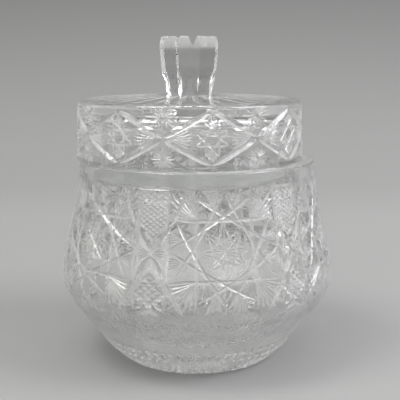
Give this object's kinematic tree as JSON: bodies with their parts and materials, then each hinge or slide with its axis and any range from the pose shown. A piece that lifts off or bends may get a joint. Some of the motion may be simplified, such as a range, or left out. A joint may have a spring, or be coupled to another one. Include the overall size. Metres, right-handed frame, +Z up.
{
  "type": "biscuit jar",
  "caption": "Squat cut-glass biscuit jar with a loose drum-shaped lid and a faceted knob; holds biscuits or sweets on a table or shelf.",
  "frame": {"origin": "centre of the jar's underside", "axes": "+Z up through the jar's mouth and the knob; -Y is the front, the side that the reference view shows"},
  "size_m": [0.1526, 0.1526, 0.1789],
  "materials": {
    "jar_glass": "clear cut crystal, fire-polished",
    "lid_glass": "clear cut crystal, fire-polished",
    "knob_glass": "clear crystal with polished flat facets"
  },
  "bodies": {
    "jar": {"jar": "jar_glass"},
    "lid": {"lid": "lid_glass", "knob": "knob_glass"}
  },
  "joints": [
    {"name": "lid_lift", "type": "slide", "parent": "jar", "child": "lid", "axis": [0, 0, 1], "range_m": [0, 0.09]}
  ]
}
